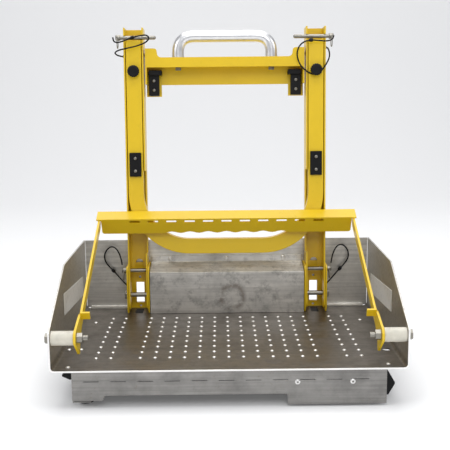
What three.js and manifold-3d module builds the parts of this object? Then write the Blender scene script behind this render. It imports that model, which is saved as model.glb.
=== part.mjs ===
// Folding load platform: a sheet-metal tray on a low base, with a hinged yellow mast held upright by
// tethered lock pins, and a serrated tread bar that swings on two arms over the tray.
// Millimetres, +Z up, front of the tray towards -Y. Heights in the layout are measured from the deck's
// top face and depths from the deck's front edge; the outer group then moves the whole part so that
// its origin is at the bottom centre of its box.
import * as THREE from "three";
import { mergeVertices } from "three/addons/utils/BufferGeometryUtils.js";
import Module from "manifold-3d";

const wasm = await Module();
wasm.setup();

// ---- driving dimensions ----
const GAP = 0.3; // left between pieces that touch
const DECK = { width: 608, depth: 412, sheet: 3, bend: 9, height: 70 }; // height: deck above the ground
const SIDE = { low: 66, high: 148, shoulder: 168 }; // front height, full height, depth where it is reached
const BACK = { front: 413, sheet: 3, height: 147, flange: 14, bend: 5 };
const COVER = { front: 357, height: 88, rear: 100, flange: 113, half: 160.5, sheet: 2.5 };
const APRON = { half: 268, front: 8, sheet: 2.5, top: -3.5, middle: -47, left: -56, right: -66 };
const BASE = { floor: -60, rear: 400, flange: 32 };
const MAST = { x: 185.2, width: 40, sheet: 3, front: -24.5, web: 19.5, top: 551.5, lean: 3.5 };
const PIVOT = { y: 382, z: 35.5, bolt: 5 }; // mast hinge bolt, radius
const LOCK = { up: 52, r: 4 }; // lock pin above the hinge bolt
const RING = { r: 11, wire: 0.9, at: 6, hang: 0.8 }; // at: from the pin head's inner face
const TOP_PIN = { y: -20.5, up: 531.5 };
const BRACKET = { front: 357, web: 407, top: 100, sheet: 3, half: 23.5 };
const FRAME = { wide: 31, deep: 20, wall: 2.5, bottom: 105, bend: 110, top: 526 };
const BEAM = { half: 162, front: -22, web: 14, top: 492, lip: 472, low: 438, sheet: 3 };
const EAR_BOLT = { y: 6, up: 500, r: 4 };
const GRAB = { half: 95.5, r: 12.5, top: 534.5, bend: 34, y: -6 };
const TREAD = { y: 16, z: 53, angle: 25, reach: 386, width: 30, drop: 35, half: 265, pitch: 37.5 };
const ARM = { x: 259.5, thick: 4, deep: 18 };
const CORD_R = 1.5;
const DRAIN = { x: 284, y: 102, r: 8 };
const WINDOW = { half: 8.5, low: 12, high: 57 }; // through the back wall and bracket behind each mast leg
const STRAP = { half: 8, front: 362, rear: 398 }; // slot in the deck under each mast leg
const DASH = { count: 11, first: -235, pitch: 46, half: 13, low: -22.4, high: -21.6 };
const CROSS = { front: 130, rear: 270, deep: 34, tall: 28, sheet: 2.5 };
const BUMPER = { front: 14, rear: 386, lip: 4, right: [-12, -53, 15], left: [-5, -20, 17] }; // top, low, out
const FOOT = { front: 45, rear: 355, inset: 18, r: 16, flat: 13 };
const CHANNEL = { foot: -29, open: 52.5, arch: 66, archHalf: 8, gate: [90, 262], gateDeep: 26 };
const EAR = { wide: 24, up: 18, tab: 31, tabDrop: 24 }; // the beam's raised corners and hanging tabs
const BLOCK = { half: 10.5, low: 415.5, top: 467, cap: 457, deep: 15 };
const PAD = { half: 12, low: 250.5, top: 299.5, thick: 5 };
const KNOB = { up: 464, r: 12.3, neck: 6, skirt: 5.2, deep: 13 };
const PIN = { head: 6, long: 10, eye: 2.4, lockTip: 4, topTip: 139.2, topHead: 211.2 };
const M10 = { flats: 16, head: 6.5 };
const M8 = { flats: 13, head: 5 };
const TAB = { from: 54, to: 58, low: -5, top: 9, wide: 16 }; // stop tab on each tread arm
const SPACER_R = 12.5;
const SCREW = { head: 6.5, sleeve: 5, drop: 5.5 }; // hangs just below the beam's front lip
const SLOT = { middle: -6.6, half: 11, halfTall: 3.2 }; // in the tread bar's front face
const rad = THREE.MathUtils.degToRad;

// ---- finishes ----
const finish = (color, roughness, metalness) =>
  new THREE.MeshStandardMaterial({ color, roughness, metalness });
const FINISH = {
  yellow: finish(0xe0b61c, 0.42, 0),
  steel: finish(0x8d8780, 0.32, 1),
  zinc: finish(0xb9b4a8, 0.35, 1),
  aluminium: finish(0xc6c9cb, 0.3, 1),
  rubber: finish(0x141414, 0.7, 0),
  plastic: finish(0x1b1b1b, 0.5, 0),
  nylon: finish(0xe9e7de, 0.45, 0),
};

// ---- solids ----
const V2 = (x, y) => new THREE.Vector2(x, y);
const V3 = (x, y, z) => new THREE.Vector3(x, y, z);

function solid(geometry) {
  const bare = new THREE.BufferGeometry().setAttribute("position", geometry.getAttribute("position"));
  if (geometry.index) bare.setIndex(geometry.index);
  const merged = mergeVertices(bare, 1e-4);
  return new wasm.Manifold(
    new wasm.Mesh({
      numProp: 3,
      vertProperties: new Float32Array(merged.attributes.position.array),
      triVerts: new Uint32Array(merged.index.array),
    }),
  );
}

function geometryOf(made) {
  const mesh = made.getMesh();
  const geometry = new THREE.BufferGeometry();
  geometry.setAttribute("position", new THREE.BufferAttribute(mesh.vertProperties, 3));
  geometry.setIndex(new THREE.BufferAttribute(mesh.triVerts, 1));
  return geometry;
}

const join = (...parts) => geometryOf(parts.map(solid).reduce((a, b) => a.add(b)));
const cut = (body, ...tools) => geometryOf(tools.map(solid).reduce((a, b) => a.subtract(b), solid(body)));
const common = (a, b) => geometryOf(solid(a).intersect(solid(b)));

// An outline of [a, b] points, or a ready Shape, carried along one axis from low to high.
const AXES = {
  x: [V3(0, 1, 0), V3(0, 0, 1), V3(1, 0, 0)], // outline is (y, z)
  y: [V3(1, 0, 0), V3(0, 0, 1), V3(0, -1, 0)], // outline is (x, z)
  z: [V3(1, 0, 0), V3(0, 1, 0), V3(0, 0, 1)], // outline is (x, y)
};
function slab(outline, axis, low, high, holes = []) {
  const ready = outline instanceof THREE.Shape;
  const shape = ready ? outline : new THREE.Shape(outline.map(([a, b]) => V2(a, b)));
  shape.holes.push(...holes);
  const geometry = new THREE.ExtrudeGeometry(shape, {
    depth: high - low,
    bevelEnabled: false,
    curveSegments: 4,
  });
  geometry.applyMatrix4(new THREE.Matrix4().makeBasis(...AXES[axis]));
  const start = axis === "y" ? high : low;
  return geometry.translate(...{ x: [start, 0, 0], y: [0, start, 0], z: [0, 0, start] }[axis]);
}

const box = (x0, x1, y0, y1, z0, z1) =>
  new THREE.BoxGeometry(x1 - x0, y1 - y0, z1 - z0).translate((x0 + x1) / 2, (y0 + y1) / 2, (z0 + z1) / 2);

// A round bar along an axis, from low to high, centred on the two other coordinates.
function rod(axis, r, low, high, a, b, sides = 12) {
  const bar = new THREE.CylinderGeometry(r, r, high - low, sides);
  const middle = (low + high) / 2;
  if (axis === "x") return bar.rotateZ(-Math.PI / 2).translate(middle, a, b);
  if (axis === "z") return bar.rotateX(Math.PI / 2).translate(a, b, middle);
  return bar.translate(a, middle, b);
}

// A closed profile of [radius, height] points turned about an axis.
function turned(profile, axis, a, b, sides = 14) {
  const body = new THREE.LatheGeometry(profile.map(([r, h]) => V2(r, h)), sides);
  if (axis === "x") return body.rotateZ(-Math.PI / 2).translate(0, a, b);
  return axis === "z" ? body.rotateX(Math.PI / 2).translate(a, b, 0) : body.translate(a, 0, b);
}

// A hole of 12 sides whose flats keep the radius clear.
function roundHole(a, b, r) {
  const corner = r / Math.cos(Math.PI / 12);
  const turns = Array.from({ length: 12 }, (_, i) => (-Math.PI * i) / 6);
  return new THREE.Path(turns.map((t) => V2(a + corner * Math.cos(t), b + corner * Math.sin(t))));
}

// A slot with chamfered ends, as tall as twice halfTall.
function slotHole(a, b, halfWide, halfTall) {
  const straight = halfWide - halfTall;
  const turn = [-60, -20, 20, 60].map(rad);
  const end = (side) =>
    turn.map((t) => V2(a + side * (straight + halfTall * Math.cos(t)), b + side * halfTall * Math.sin(t)));
  return new THREE.Path([...end(1), ...end(-1)]);
}

// A section of n sides carried along a curve.
function tube(curve, r, sides, steps) {
  const ring = Array.from({ length: sides }, (_, i) => {
    const turn = (2 * Math.PI * (i + 0.5)) / sides;
    return V2(r * Math.cos(turn), r * Math.sin(turn));
  });
  const options = { steps, extrudePath: curve, bevelEnabled: false };
  return new THREE.ExtrudeGeometry(new THREE.Shape(ring), options);
}

// ---- the tree ----
const part = new THREE.Group();
const layout = new THREE.Group();
const mast = new THREE.Group();
const swing = new THREE.Group();
part.add(layout);
layout.add(mast, swing);
mast.position.set(0, PIVOT.y, PIVOT.z);
mast.rotation.x = -rad(MAST.lean);
swing.position.set(0, TREAD.y, TREAD.z);
swing.rotation.x = rad(TREAD.angle);

function node(parent, name, geometry, material) {
  const mesh = new THREE.Mesh(geometry, FINISH[material]);
  mesh.name = name;
  parent.add(mesh);
}

// Each handed piece is made once for x > 0 and once mirrored, with its triangles turned back.
function mirrored(geometry) {
  const copy = geometry.clone().scale(-1, 1, 1);
  const flipped = copy.index ? copy.toNonIndexed() : copy;
  const at = flipped.getAttribute("position");
  for (let i = 0; i < at.count; i += 3) {
    const one = V3().fromBufferAttribute(at, i);
    const two = V3().fromBufferAttribute(at, i + 1);
    at.setXYZ(i, two.x, two.y, two.z);
    at.setXYZ(i + 1, one.x, one.y, one.z);
  }
  return flipped;
}
function pair(parent, name, geometry, material) {
  node(parent, name + "_right", geometry, material);
  node(parent, name + "_left", mirrored(geometry), material);
}

// ---- tray ----
function deckTray() {
  const half = DECK.width / 2;
  const { sheet, bend } = DECK;
  const section = new THREE.Shape();
  section.moveTo(-half, SIDE.high);
  section.lineTo(-half, bend - sheet);
  section.absarc(-half + bend, bend - sheet, bend, Math.PI, 1.5 * Math.PI);
  section.absarc(half - bend, bend - sheet, bend, 1.5 * Math.PI, 2 * Math.PI);
  section.lineTo(half, SIDE.high);
  section.lineTo(half - sheet, SIDE.high);
  section.lineTo(half - sheet, bend - sheet);
  section.absarc(half - bend, bend - sheet, bend - sheet, 0, -Math.PI / 2, true);
  section.absarc(-half + bend, bend - sheet, bend - sheet, -Math.PI / 2, -Math.PI, true);
  section.lineTo(-half + sheet, SIDE.high);
  const sideView = [
    [0, -sheet - 1],
    [DECK.depth, -sheet - 1],
    [DECK.depth, SIDE.high],
    [SIDE.shoulder, SIDE.high],
    [0, SIDE.low],
  ];
  const body = common(slab(section, "y", 0, DECK.depth), slab(sideView, "x", -half - 1, half + 1));
  const drain = rod("z", DRAIN.r, -sheet - 1, 1, DRAIN.x, DRAIN.y);
  const boltHole = rod("x", PIVOT.bolt + GAP, -half - 1, half + 1, TREAD.y, TREAD.z);
  const straps = [-MAST.x, MAST.x].map((x) =>
    box(x - STRAP.half, x + STRAP.half, STRAP.front, STRAP.rear, -sheet - 1, 1),
  );
  return cut(body, drain, boltHole, ...straps);
}

function backWall() {
  const { front, sheet, height, flange, bend } = BACK;
  const rear = front + sheet;
  const low = GAP;
  const profile = new THREE.Shape();
  profile.moveTo(front - flange, low);
  profile.lineTo(rear - bend, low);
  profile.absarc(rear - bend, low + bend, bend, -Math.PI / 2, 0);
  profile.lineTo(rear, height);
  profile.lineTo(front, height);
  profile.lineTo(front, low + bend);
  profile.absarc(rear - bend, low + bend, bend - sheet, 0, -Math.PI / 2, true);
  profile.lineTo(front - flange, low + sheet);
  const half = DECK.width / 2 - DECK.sheet - GAP;
  const side = half - DECK.bend;
  const windows = [-MAST.x, MAST.x].flatMap((x) => [
    box(x - WINDOW.half, x + WINDOW.half, front - 1, rear + 1, WINDOW.low, WINDOW.high),
    box(x - BRACKET.half - 2, x + BRACKET.half + 2, front - flange - 1, front - GAP, 0, 8),
  ]);
  const notches = [
    [-half - 1, -side],
    [side, half + 1],
  ];
  const corners = notches.map(([x0, x1]) => box(x0, x1, front - flange - 1, front, 0, bend + sheet));
  return cut(slab(profile, "x", -half, half), ...windows, ...corners);
}

function stepCover() {
  const { front, height, rear, flange, sheet, half } = COVER;
  const wall = BACK.front - GAP;
  return slab(
    [
      [front, GAP],
      [front + sheet, GAP],
      [front + sheet, height - sheet],
      [wall - sheet, rear - sheet],
      [wall, rear - sheet],
      [wall, flange],
      [wall - sheet, flange],
      [wall - sheet, rear],
      [front, height],
    ],
    "x",
    -half,
    half,
  );
}

// ---- base under the deck ----
function apron() {
  const { half, front, sheet, top, middle, left, right } = APRON;
  const outline = [
    [-half, top],
    [-half, left],
    [-half + 52, left],
    [-half + 56, middle],
    [98, middle],
    [100, right],
    [half, right],
    [half, top],
  ];
  const dashes = Array.from({ length: DASH.count }, (_, i) => {
    const x = DASH.first + i * DASH.pitch;
    return box(x - DASH.half, x + DASH.half, front - 1, front + sheet + 1, DASH.low, DASH.high);
  });
  return cut(slab(outline, "y", front, front + sheet), ...dashes);
}

const rearApron = () =>
  slab(
    [
      [-APRON.half, APRON.top],
      [-APRON.half, BASE.floor],
      [APRON.half, BASE.floor],
      [APRON.half, APRON.top],
    ],
    "y",
    BASE.rear,
    BASE.rear + APRON.sheet,
  );

function sideRail() {
  const { half, sheet, top, front } = APRON;
  const { floor, flange, rear } = BASE;
  const inner = half - flange;
  return slab(
    [
      [half, floor],
      [half, top],
      [inner, top],
      [inner, top - sheet],
      [half - sheet, top - sheet],
      [half - sheet, floor + sheet],
      [inner, floor + sheet],
      [inner, floor],
    ],
    "y",
    front + sheet + GAP,
    rear - GAP,
  );
}

function crossMember(y) {
  const half = APRON.half - APRON.sheet - GAP;
  const top = APRON.top - APRON.sheet - GAP;
  return slab(
    [
      [y, top],
      [y, top - CROSS.tall],
      [y + CROSS.sheet, top - CROSS.tall],
      [y + CROSS.sheet, top - CROSS.sheet],
      [y + CROSS.deep, top - CROSS.sheet],
      [y + CROSS.deep, top],
    ],
    "x",
    -half,
    half,
  );
}

// The right bumper is a deep wedge and the left one a low bead.
function bumper([top, low, out]) {
  const { front, rear, lip } = BUMPER;
  const ridge = (top + low) / 2;
  return slab(
    [
      [APRON.half + GAP, top],
      [APRON.half + GAP, low],
      [APRON.half + lip, low],
      [APRON.half + out, ridge - 1.5],
      [APRON.half + out, ridge + 1.5],
      [APRON.half + lip, top],
    ],
    "y",
    front,
    rear,
  );
}

function foot(x, y) {
  const low = -DECK.height;
  const high = BASE.floor - GAP;
  const profile = [
    [0, low],
    [FOOT.flat, low],
    [FOOT.r, low + 2.5],
    [FOOT.r - 2, high],
    [0, high],
  ];
  return turned(profile, "z", x, y);
}

node(layout, "deck_tray", deckTray(), "steel");
node(layout, "back_wall", backWall(), "steel");
node(layout, "step_cover", stepCover(), "steel");
node(layout, "front_apron", apron(), "steel");
node(layout, "rear_apron", rearApron(), "steel");
pair(layout, "side_rail", sideRail(), "steel");
node(layout, "cross_member_front", crossMember(CROSS.front), "steel");
node(layout, "cross_member_rear", crossMember(CROSS.rear), "steel");
node(layout, "bumper_right", bumper(BUMPER.right), "rubber");
node(layout, "bumper_left", mirrored(bumper(BUMPER.left)), "rubber");
for (const where of ["front", "rear"]) {
  pair(layout, "foot_" + where, foot(APRON.half - FOOT.inset, FOOT[where]), "rubber");
}

// ---- mast brackets and hinge bolts ----
// The lock pin's place in the layout, straight up the leaning mast from its hinge bolt.
const lockY = PIVOT.y + LOCK.up * Math.sin(rad(MAST.lean));
const lockZ = PIVOT.z + LOCK.up * Math.cos(rad(MAST.lean));

function bracket() {
  const { front, web, top, sheet, half } = BRACKET;
  const low = GAP;
  const cheek = new THREE.Shape();
  cheek.moveTo(front + 6, low);
  cheek.lineTo(web + sheet, low);
  cheek.lineTo(web + sheet, top);
  cheek.lineTo(front + 8, top);
  cheek.quadraticCurveTo(front, top, front, top - 8);
  cheek.lineTo(front, low + 8);
  cheek.lineTo(front + 6, low);
  cheek.holes.push(roundHole(PIVOT.y, PIVOT.z, PIVOT.bolt + GAP), roundHole(lockY, lockZ, LOCK.r + GAP));
  const cheeks = [-half, half - sheet].map((x) => slab(cheek.clone(), "x", MAST.x + x, MAST.x + x + sheet));
  const back = box(MAST.x - half, MAST.x + half, web, web + sheet, low, top);
  const wide = [MAST.x - WINDOW.half, MAST.x + WINDOW.half];
  const window = box(...wide, web - 1, web + sheet + 1, WINDOW.low, WINDOW.high);
  const holes = [5, 68].map((z) => rod("y", 2.8, web - 1, web + sheet + 1, MAST.x, z, 12));
  return cut(join(...cheeks, back), window, ...holes);
}

// A bolt along X with its hex head outermost: head from x0 outwards, shank inwards to x1.
function hexBolt(r, size, x0, x1, y, z) {
  const corner = size.flats / Math.sqrt(3);
  const cap = rod("x", corner, x0, x0 + size.head, y, z, 6);
  return join(cap, rod("x", r, x1, x0 + 0.5, y, z));
}
function hexNut(r, size, x0, x1, y, z) {
  const corner = size.flats / Math.sqrt(3);
  return cut(rod("x", corner, x0, x1, y, z, 6), rod("x", r + GAP, x0 - 1, x1 + 1, y, z));
}

const outer = MAST.x + BRACKET.half;
const inner = MAST.x - BRACKET.half;
pair(layout, "bracket", bracket(), "yellow");
pair(layout, "mast_bolt", hexBolt(PIVOT.bolt, M10, outer + GAP, inner - 1, PIVOT.y, PIVOT.z), "zinc");

// ---- mast ----
function mastChannel() {
  const { x, width, sheet, front, web, top } = MAST;
  const half = width / 2;
  const { foot, open, arch: archTop, archHalf, gate: gateSpan, gateDeep } = CHANNEL;
  const flange = new THREE.Shape();
  flange.moveTo(front, -14);
  flange.quadraticCurveTo(front, foot, -8, foot);
  flange.lineTo(4, foot);
  flange.quadraticCurveTo(web - 2, foot, web - 2, -12);
  flange.lineTo(web - 2, open);
  flange.lineTo(web, open);
  flange.lineTo(web, top);
  flange.lineTo(front, top);
  const bore = roundHole(0, 0, PIVOT.bolt + GAP);
  const lock = roundHole(0, LOCK.up, LOCK.r + GAP);
  const flanges = [x - half, x + half - sheet].map((at) =>
    slab(flange.clone(), "x", at, at + sheet, [bore, lock]),
  );
  const back = box(x - half, x + half, web - sheet, web, open, top);
  const arch = join(
    box(x - archHalf, x + archHalf, web - sheet - 1, web + 1, open - 2, archTop),
    rod("y", archHalf, web - sheet - 1, web + 1, x, archTop),
  );
  // The frame leaves the channel through the front part of the inner flange.
  const gate = box(x - half - 1, x - half + sheet + 1, front - 1, front + gateDeep, ...gateSpan);
  const pinLow = TOP_PIN.up - LOCK.r - GAP;
  const pinRest = join(
    rod("x", LOCK.r + GAP, x - half - 1, x + half + 1, TOP_PIN.y, TOP_PIN.up),
    box(x - half - 1, x + half + 1, front - 1, TOP_PIN.y, pinLow, pinLow + 2 * (LOCK.r + GAP)),
  );
  const earBore = rod("x", EAR_BOLT.r + GAP, x - half - 1, x - half + sheet + 1, EAR_BOLT.y, EAR_BOLT.up);
  return cut(join(...flanges, back), arch, gate, pinRest, earBore);
}

// The bent frame's outline in the mast's own plane: two legs, two bends and the bottom run.
function frameOutline(halfWide, top) {
  const shape = new THREE.Shape();
  const outer = FRAME.bend + halfWide;
  const inner = FRAME.bend - halfWide;
  const middle = MAST.x - FRAME.bend;
  const knee = FRAME.bottom + FRAME.bend;
  shape.moveTo(-MAST.x - halfWide, top);
  shape.lineTo(-MAST.x - halfWide, knee);
  shape.absarc(-middle, knee, outer, Math.PI, 1.5 * Math.PI);
  shape.absarc(middle, knee, outer, 1.5 * Math.PI, 2 * Math.PI);
  shape.lineTo(MAST.x + halfWide, top);
  shape.lineTo(MAST.x - halfWide, top);
  shape.lineTo(MAST.x - halfWide, knee);
  shape.absarc(middle, knee, inner, 0, -Math.PI / 2, true);
  shape.absarc(-middle, knee, inner, -Math.PI / 2, -Math.PI, true);
  shape.lineTo(-MAST.x + halfWide, top);
  return shape;
}
function bentFrame() {
  const { wide, deep, wall, top } = FRAME;
  const extrude = (shape, low, high) => {
    const settings = { depth: high - low, bevelEnabled: false, curveSegments: 10 };
    const geometry = new THREE.ExtrudeGeometry(shape, settings);
    return geometry.applyMatrix4(new THREE.Matrix4().makeBasis(...AXES.y)).translate(0, high, 0);
  };
  const front = MAST.front;
  return cut(
    extrude(frameOutline(wide / 2, top), front, front + deep),
    extrude(frameOutline(wide / 2 - wall, top + 5), front + wall, front + deep - wall),
  );
}

function crossBeam() {
  const { half, front, web, top, lip, low, sheet } = BEAM;
  const { wide: ear, up, tab, tabDrop } = EAR;
  const face = new THREE.Shape();
  face.moveTo(-half, lip);
  face.lineTo(half, lip);
  face.lineTo(half, top + up);
  face.lineTo(half - ear + 7, top + up);
  face.quadraticCurveTo(half - ear, top + up, half - ear, top + up - 7);
  face.quadraticCurveTo(half - ear, top, half - ear - 9, top);
  face.lineTo(-half + ear + 9, top);
  face.quadraticCurveTo(-half + ear, top, -half + ear, top + up - 7);
  face.quadraticCurveTo(-half + ear, top + up, -half + ear - 7, top + up);
  face.lineTo(-half, top + up);
  const back = [
    [-half, low - tabDrop],
    [-half + tab, low - tabDrop],
    [-half + tab, low],
    [half - tab, low],
    [half - tab, low - tabDrop],
    [half, low - tabDrop],
    [half, top],
    [-half, top],
  ];
  const seats = [-GRAB.half, GRAB.half].map((x) => rod("z", 4.3, top - sheet - 1, top + 1, x, GRAB.y));
  const ends = [-half, half - sheet].map((x) => box(x, x + sheet, front, web, low, top + up));
  const bores = rod("x", EAR_BOLT.r + GAP, -half - 1, half + 1, EAR_BOLT.y, EAR_BOLT.up);
  return cut(
    join(
      slab(face, "y", front, front + sheet),
      box(-half, half, front, web, top - sheet, top),
      slab(back, "y", web - sheet, web),
      ...ends,
    ),
    ...seats,
    bores,
  );
}

function grabHandle() {
  const { half, r, top, bend, y } = GRAB;
  const at = (x, z) => V3(x, y, z);
  const low = BEAM.top + GAP;
  const side = top - bend; // where the legs end and the corners begin
  const flat = half - bend; // where the corners end and the grip begins
  const path = new THREE.CurvePath();
  path.add(new THREE.LineCurve3(at(-half, low), at(-half, side)));
  path.add(new THREE.QuadraticBezierCurve3(at(-half, side), at(-half, top), at(-flat, top)));
  path.add(new THREE.LineCurve3(at(-flat, top), at(flat, top)));
  path.add(new THREE.QuadraticBezierCurve3(at(flat, top), at(half, top), at(half, side)));
  path.add(new THREE.LineCurve3(at(half, side), at(half, low)));
  return tube(path, r, 12, 26);
}

const screwUp = (x) =>
  join(
    rod("z", SCREW.head, BEAM.lip - SCREW.drop, BEAM.lip - SCREW.drop + 5, x, GRAB.y, 6),
    rod("z", SCREW.sleeve, BEAM.lip - SCREW.drop + 4, BEAM.top - BEAM.sheet - GAP, x, GRAB.y, 12),
    rod("z", 3.8, BEAM.top - BEAM.sheet - 3, BEAM.top, x, GRAB.y, 12),
  );

function cornerBlock() {
  const front = BEAM.web - BEAM.sheet - GAP;
  const x = BEAM.half - 16;
  const { half, low, top, cap, deep } = BLOCK;
  return join(
    box(x - half, x + half, front - deep, front, low, cap + 2),
    box(x - half - 6, x + half, front - deep - 6, front, cap, top),
  );
}

const restPad = () =>
  box(MAST.x - PAD.half, MAST.x + PAD.half, MAST.front - PAD.thick, MAST.front - GAP, PAD.low, PAD.top);

function knob() {
  const face = MAST.front - GAP;
  const { r, neck, skirt, deep, up } = KNOB;
  const profile = [
    [0, face - deep],
    [r - 1.5, face - deep],
    [r, face - deep + 1.5],
    [r, face - skirt - 1.4],
    [r - 1, face - skirt],
    [neck, face - skirt],
    [neck, face],
    [0, face],
  ];
  return turned(profile, "y", MAST.x, up);
}

pair(mast, "mast_channel", mastChannel(), "yellow");
node(mast, "bent_frame", bentFrame(), "yellow");
node(mast, "cross_beam", crossBeam(), "yellow");
node(mast, "grab_handle", grabHandle(), "aluminium");
pair(mast, "handle_screw", screwUp(GRAB.half), "zinc");
const flangeFace = MAST.x - MAST.width / 2 + MAST.sheet + GAP;
const earFace = BEAM.half - BEAM.sheet - GAP;
pair(mast, "ear_bolt", hexBolt(EAR_BOLT.r, M8, flangeFace, earFace - 10, EAR_BOLT.y, EAR_BOLT.up), "zinc");
pair(mast, "ear_nut", hexNut(EAR_BOLT.r, M8, earFace - 6.5, earFace, EAR_BOLT.y, EAR_BOLT.up), "zinc");
pair(mast, "corner_block", cornerBlock(), "plastic");
pair(mast, "rest_pad", restPad(), "rubber");
pair(mast, "frame_knob", knob(), "plastic");

// ---- lock pins, rings and lanyards ----
// A pin along X: round nose at the inner end, turned head with a cross hole at the outer end.
function lockPin(nose, head, y, z) {
  const { r } = LOCK;
  const profile = [
    [0, nose],
    [r - 1.5, nose],
    [r, nose + 2.5],
    [r, head],
    [PIN.head, head + 0.4],
    [PIN.head, head + PIN.long - 1.5],
    [PIN.head - 1.5, head + PIN.long],
    [0, head + PIN.long],
  ];
  return cut(turned(profile, "x", y, z), rod("y", PIN.eye, y - 8, y + 8, head + RING.at, z));
}
const lowHead = outer + 2;
pair(layout, "lock_pin", lockPin(inner - PIN.lockTip, lowHead, lockY, lockZ), "zinc");
pair(mast, "top_pin", lockPin(PIN.topTip, PIN.topHead, TOP_PIN.y, TOP_PIN.up), "zinc");

// A ring hangs in the head's cross hole, square to the pin.
function pinRing(head, y, z) {
  const ring = new THREE.TorusGeometry(RING.r, RING.wire, 6, 16).rotateY(Math.PI / 2);
  return ring.translate(head + RING.at, y, z - RING.r + RING.hang);
}
pair(layout, "pin_ring", pinRing(lowHead, lockY, lockZ), "zinc");
pair(mast, "top_ring", pinRing(PIN.topHead, TOP_PIN.y, TOP_PIN.up), "zinc");

const LOWER_ROUTE = [
  [210.4, 390, 53],
  [215.2, 392, 57],
  [223.2, 397.5, 64],
  [232.2, 401, 73.5],
  [241.2, 402.5, 83],
  [250.2, 402.5, 93],
  [256.7, 402, 103],
  [258.7, 401, 113],
  [256.7, 400, 123],
  [250.7, 399, 131.5],
  [241.7, 397.5, 136],
  [232.7, 395.5, 131.5],
  [226.2, 392.5, 121],
  [222.2, 389.5, 109],
  [220.2, 387, 98.5],
];
const TOP_LEFT_ROUTE = [
  [-207.2, -12, 495],
  [-211.2, -20, 495],
  [-218.2, -27, 497],
  [-221.2, -31, 501],
  [-214.2, -33, 505.5],
  [-199.2, -34, 509],
  [-179.2, -34, 513.5],
  [-161.2, -33.5, 520],
  [-152.7, -33, 528.5],
  [-158.2, -33, 535],
  [-172.2, -33, 534],
  [-186.2, -33, 530.5],
  [-201.2, -33, 525],
  [-214.2, -36, 521],
  [-222.2, -37, 523],
  [-224.7, -36.5, 531],
];
const TOP_RIGHT_ROUTE = [
  [207.2, -12, 510],
  [210.2, -18, 507],
  [212.2, -24, 499],
  [211.7, -28, 489],
  [207.2, -28.5, 478],
  [199.2, -27.5, 466],
  [190.2, -27, 457.5],
  [180.2, -27, 455],
  [169.2, -27.3, 459],
  [157.2, -29.5, 468.5],
  [149.2, -31.5, 481],
  [146.2, -33, 496],
  [149.7, -33.5, 509],
  [159.2, -33.5, 518.5],
  [174.2, -33, 522.5],
  [191.2, -33, 521.5],
  [206.2, -35, 520.5],
  [216.2, -37, 523.5],
  [219.7, -36.5, 531],
];
function lanyard(route, steps) {
  const curve = new THREE.CatmullRomCurve3(route.map((p) => V3(...p)), false, "centripetal");
  return tube(curve, CORD_R, 8, steps);
}
pair(layout, "lanyard_lower", lanyard(LOWER_ROUTE, 26), "plastic");
node(mast, "lanyard_top_left", lanyard(TOP_LEFT_ROUTE, 32), "plastic");
node(mast, "lanyard_top_right", lanyard(TOP_RIGHT_ROUTE, 36), "plastic");

// ---- swinging tread bar, in its own frame: Y along the arms, Z square to them ----
function arm() {
  const shape = new THREE.Shape();
  const under = -3 - GAP;
  const edge = under - ARM.deep;
  shape.moveTo(TREAD.reach - 1, under);
  shape.lineTo(66, under);
  shape.lineTo(58, 4);
  shape.lineTo(46, 7);
  shape.lineTo(7, 13.3);
  shape.absarc(0, 0, 15, rad(62), rad(185));
  shape.lineTo(4, -37);
  shape.absarc(10, -38, 6, rad(190), rad(345));
  shape.lineTo(26, -26);
  shape.lineTo(58, edge);
  shape.lineTo(TREAD.reach - TREAD.width - 1, edge);
  shape.lineTo(TREAD.reach - 1, under - 6);
  const inside = ARM.x - ARM.thick / 2;
  const plate = slab(shape, "x", inside, inside + ARM.thick, [roundHole(0, 0, PIVOT.bolt + GAP)]);
  return join(plate, box(inside - TAB.wide, inside + 1, TAB.from, TAB.to, TAB.low, TAB.top));
}

function treadBar() {
  const { reach, width, drop, half, pitch } = TREAD;
  const start = reach - width;
  const end = ARM.x - ARM.thick / 2 - GAP - 2;
  const face = new THREE.Shape();
  face.moveTo(-end, -1);
  face.lineTo(-end, -drop + 6);
  face.quadraticCurveTo(-end, -drop, -end + 6, -drop);
  const waves = 3.5 * pitch;
  for (let x = -waves; x <= waves + 0.01; x += pitch / 6) {
    face.lineTo(x, -drop + 2 - 2 * Math.cos((2 * Math.PI * (x + waves)) / pitch));
  }
  face.lineTo(end - 6, -drop);
  face.quadraticCurveTo(end, -drop, end, -drop + 6);
  face.lineTo(end, -1);
  const slots = Array.from({ length: 11 }, (_, i) => {
    return slotHole((i - 5) * pitch, SLOT.middle, SLOT.half, SLOT.halfTall);
  });
  return join(
    box(-half, half, start, reach, -3, 0),
    slab(face, "y", start, start + 3, slots),
  );
}

pair(swing, "tread_arm", arm(), "yellow");
node(swing, "tread_bar", treadBar(), "yellow");

// ---- tread pivots on the side walls ----
function spacer() {
  const from = ARM.x + ARM.thick / 2 + GAP;
  const to = DECK.width / 2 - DECK.sheet - GAP;
  const bore = rod("x", PIVOT.bolt + GAP, from - 1, to + 1, TREAD.y, TREAD.z);
  return cut(rod("x", SPACER_R, from, to, TREAD.y, TREAD.z, 18), bore);
}
const wallFace = DECK.width / 2 + GAP;
const armFace = ARM.x - ARM.thick / 2 - GAP;
pair(layout, "pivot_spacer", spacer(), "nylon");
pair(layout, "tread_bolt", hexBolt(PIVOT.bolt, M10, wallFace, armFace - 19, TREAD.y, TREAD.z), "zinc");
pair(layout, "tread_nut", hexNut(PIVOT.bolt, M10, armFace - 10, armFace, TREAD.y, TREAD.z), "zinc");

// The part's box runs from the deck's front edge to the back of the mast's top.
const lean = rad(MAST.lean);
const rearmost = PIVOT.y + MAST.web * Math.cos(lean) + MAST.top * Math.sin(lean);
layout.position.set(0, -rearmost / 2, DECK.height);

export default part;
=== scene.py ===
import math

import bmesh
import bpy
import numpy as np
from mathutils import Matrix


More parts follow.
